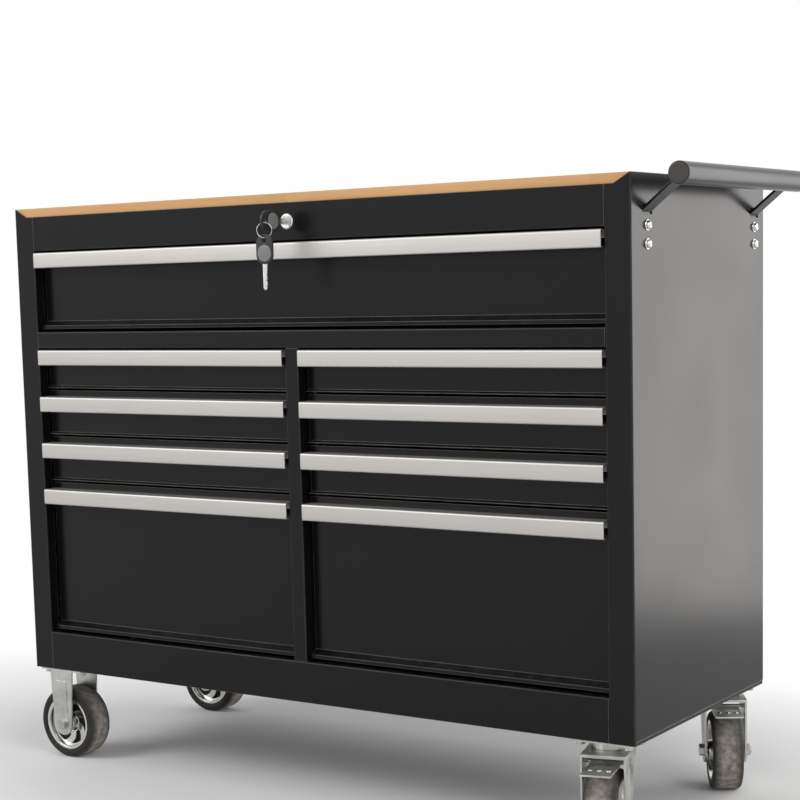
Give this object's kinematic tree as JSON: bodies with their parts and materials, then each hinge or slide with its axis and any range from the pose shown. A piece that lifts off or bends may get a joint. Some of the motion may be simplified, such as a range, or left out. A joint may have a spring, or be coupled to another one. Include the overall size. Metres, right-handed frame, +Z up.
{
  "type": "rolling tool box",
  "caption": "Black steel tool cabinet on casters, with pull-out drawers on slides, aluminium pulls, an inset wood top, a keyed lock and a tube push handle on one side.",
  "frame": {"origin": "on the floor, below the middle of the cabinet's width and depth", "axes": "+X to the handle side, -Y out of the drawer fronts, +Z up"},
  "size_m": [1.2502, 0.5498, 0.9747],
  "materials": {
    "black_paint": "semi-gloss black enamel",
    "brushed_aluminium": "brushed, anodised",
    "wood": "clear satin lacquer",
    "zinc_plate": "zinc plated",
    "chromed_hub": "bright plated",
    "tyre_rubber": "matt rubber",
    "black_plastic": "moulded, satin",
    "key_steel": "nickel plated"
  },
  "bodies": {
    "cabinet": {"caster_front_left_fork": "zinc_plate", "caster_rear_left_fork": "zinc_plate", "caster_front_right_plate": "zinc_plate", "caster_rear_right_plate": "zinc_plate", "back_panel": "black_paint", "bottom_rail": "black_paint", "centre_partition": "black_paint", "floor_pan": "black_paint", "handle": "black_paint", "handle_cap_front": "black_plastic", "handle_cap_rear": "black_plastic", "lock_barrel": "chromed_hub", "middle_rail": "black_paint", "side_panel_left": "black_paint", "side_panel_right": "black_paint", "slide_top_left": "zinc_plate", "slide_top_right": "zinc_plate", "slides_left_inner": "zinc_plate", "slides_left_outer": "zinc_plate", "slides_right_inner": "zinc_plate", "slides_right_outer": "zinc_plate", "top_deck": "black_paint", "top_rail": "black_paint", "wood_top": "wood"},
    "drawer_left_bottom": {"drawer_left_bottom_tray": "black_paint", "drawer_left_bottom_pull": "brushed_aluminium"},
    "drawer_right_bottom": {"drawer_right_bottom_tray": "black_paint", "drawer_right_bottom_pull": "brushed_aluminium"},
    "drawer_left_row_3": {"drawer_left_row_3_tray": "black_paint", "drawer_left_row_3_pull": "brushed_aluminium"},
    "drawer_right_row_3": {"drawer_right_row_3_tray": "black_paint", "drawer_right_row_3_pull": "brushed_aluminium"},
    "drawer_left_row_2": {"drawer_left_row_2_tray": "black_paint", "drawer_left_row_2_pull": "brushed_aluminium"},
    "drawer_right_row_2": {"drawer_right_row_2_tray": "black_paint", "drawer_right_row_2_pull": "brushed_aluminium"},
    "drawer_left_row_1": {"drawer_left_row_1_tray": "black_paint", "drawer_left_row_1_pull": "brushed_aluminium"},
    "drawer_right_row_1": {"drawer_right_row_1_tray": "black_paint", "drawer_right_row_1_pull": "brushed_aluminium"},
    "drawer_top": {"drawer_top_tray": "black_paint", "drawer_top_pull": "brushed_aluminium"},
    "caster_front_left_wheel": {"caster_front_left_hub": "chromed_hub", "caster_front_left_tyre": "tyre_rubber"},
    "caster_rear_left_wheel": {"caster_rear_left_hub": "chromed_hub", "caster_rear_left_tyre": "tyre_rubber"},
    "caster_front_right_swivel": {"caster_front_right_fork": "zinc_plate"},
    "caster_front_right_wheel": {"caster_front_right_hub": "chromed_hub", "caster_front_right_tyre": "tyre_rubber"},
    "caster_front_right_brake": {"caster_front_right_brake_pedal": "zinc_plate"},
    "caster_rear_right_swivel": {"caster_rear_right_fork": "zinc_plate"},
    "caster_rear_right_wheel": {"caster_rear_right_hub": "chromed_hub", "caster_rear_right_tyre": "tyre_rubber"},
    "caster_rear_right_brake": {"caster_rear_right_brake_pedal": "zinc_plate"},
    "lock_core": {"lock_plug": "key_steel", "key": "black_plastic"},
    "key_ring": {"key_ring": "key_steel"},
    "spare_key": {"spare_key": "black_plastic"}
  },
  "joints": [
    {"name": "drawer_left_bottom_slide", "type": "slide", "parent": "cabinet", "child": "drawer_left_bottom", "axis": [0, -1, 0], "range_m": [0, 0.3]},
    {"name": "drawer_right_bottom_slide", "type": "slide", "parent": "cabinet", "child": "drawer_right_bottom", "axis": [0, -1, 0], "range_m": [0, 0.3]},
    {"name": "drawer_left_row_3_slide", "type": "slide", "parent": "cabinet", "child": "drawer_left_row_3", "axis": [0, -1, 0], "range_m": [0, 0.3]},
    {"name": "drawer_right_row_3_slide", "type": "slide", "parent": "cabinet", "child": "drawer_right_row_3", "axis": [0, -1, 0], "range_m": [0, 0.3]},
    {"name": "drawer_left_row_2_slide", "type": "slide", "parent": "cabinet", "child": "drawer_left_row_2", "axis": [0, -1, 0], "range_m": [0, 0.3]},
    {"name": "drawer_right_row_2_slide", "type": "slide", "parent": "cabinet", "child": "drawer_right_row_2", "axis": [0, -1, 0], "range_m": [0, 0.3]},
    {"name": "drawer_left_row_1_slide", "type": "slide", "parent": "cabinet", "child": "drawer_left_row_1", "axis": [0, -1, 0], "range_m": [0, 0.3]},
    {"name": "drawer_right_row_1_slide", "type": "slide", "parent": "cabinet", "child": "drawer_right_row_1", "axis": [0, -1, 0], "range_m": [0, 0.3]},
    {"name": "drawer_top_slide", "type": "slide", "parent": "cabinet", "child": "drawer_top", "axis": [0, -1, 0], "range_m": [0, 0.3]},
    {"name": "caster_front_left_spin", "type": "hinge", "parent": "cabinet", "child": "caster_front_left_wheel", "pos_m": [-0.528, -0.197, 0.06216], "axis": [0, 1, 0], "continuous": true},
    {"name": "caster_rear_left_spin", "type": "hinge", "parent": "cabinet", "child": "caster_rear_left_wheel", "pos_m": [-0.528, 0.197, 0.06216], "axis": [0, 1, 0], "continuous": true},
    {"name": "caster_front_right_turn", "type": "hinge", "parent": "cabinet", "child": "caster_front_right_swivel", "pos_m": [0.528, -0.197, 0.161], "axis": [0, 0, 1], "continuous": true},
    {"name": "caster_front_right_spin", "type": "hinge", "parent": "caster_front_right_swivel", "child": "caster_front_right_wheel", "pos_m": [0.53784, -0.23371, 0.06216], "axis": [0.9659, 0.2588, 0], "continuous": true},
    {"name": "caster_front_right_brake_press", "type": "hinge", "parent": "caster_front_right_swivel", "child": "caster_front_right_brake", "pos_m": [0.53405, -0.2196, 0.13087], "axis": [0.9659, 0.2588, 0], "range_deg": [0, 6]},
    {"name": "caster_rear_right_turn", "type": "hinge", "parent": "cabinet", "child": "caster_rear_right_swivel", "pos_m": [0.528, 0.197, 0.161], "axis": [0, 0, 1], "continuous": true},
    {"name": "caster_rear_right_spin", "type": "hinge", "parent": "caster_rear_right_swivel", "child": "caster_rear_right_wheel", "pos_m": [0.547, 0.16409, 0.06216], "axis": [0.866, 0.5, 0], "continuous": true},
    {"name": "caster_rear_right_brake_press", "type": "hinge", "parent": "caster_rear_right_swivel", "child": "caster_rear_right_brake", "pos_m": [0.5397, 0.17674, 0.13087], "axis": [0.866, 0.5, 0], "range_deg": [0, 6]},
    {"name": "key_turn", "type": "hinge", "parent": "cabinet", "child": "lock_core", "pos_m": [0, -0.233, 0.9191], "axis": [0, 1, 0], "range_deg": [0, 90]},
    {"name": "ring_swing", "type": "hinge", "parent": "lock_core", "child": "key_ring", "pos_m": [0, -0.2912, 0.9166], "axis": [0.7071, 0.7071, 0], "range_deg": [-60, 15]},
    {"name": "spare_key_swing", "type": "hinge", "parent": "key_ring", "child": "spare_key", "pos_m": [0, -0.2912, 0.8936], "axis": [0.7071, 0.7071, 0], "range_deg": [-25, 25]}
  ]
}
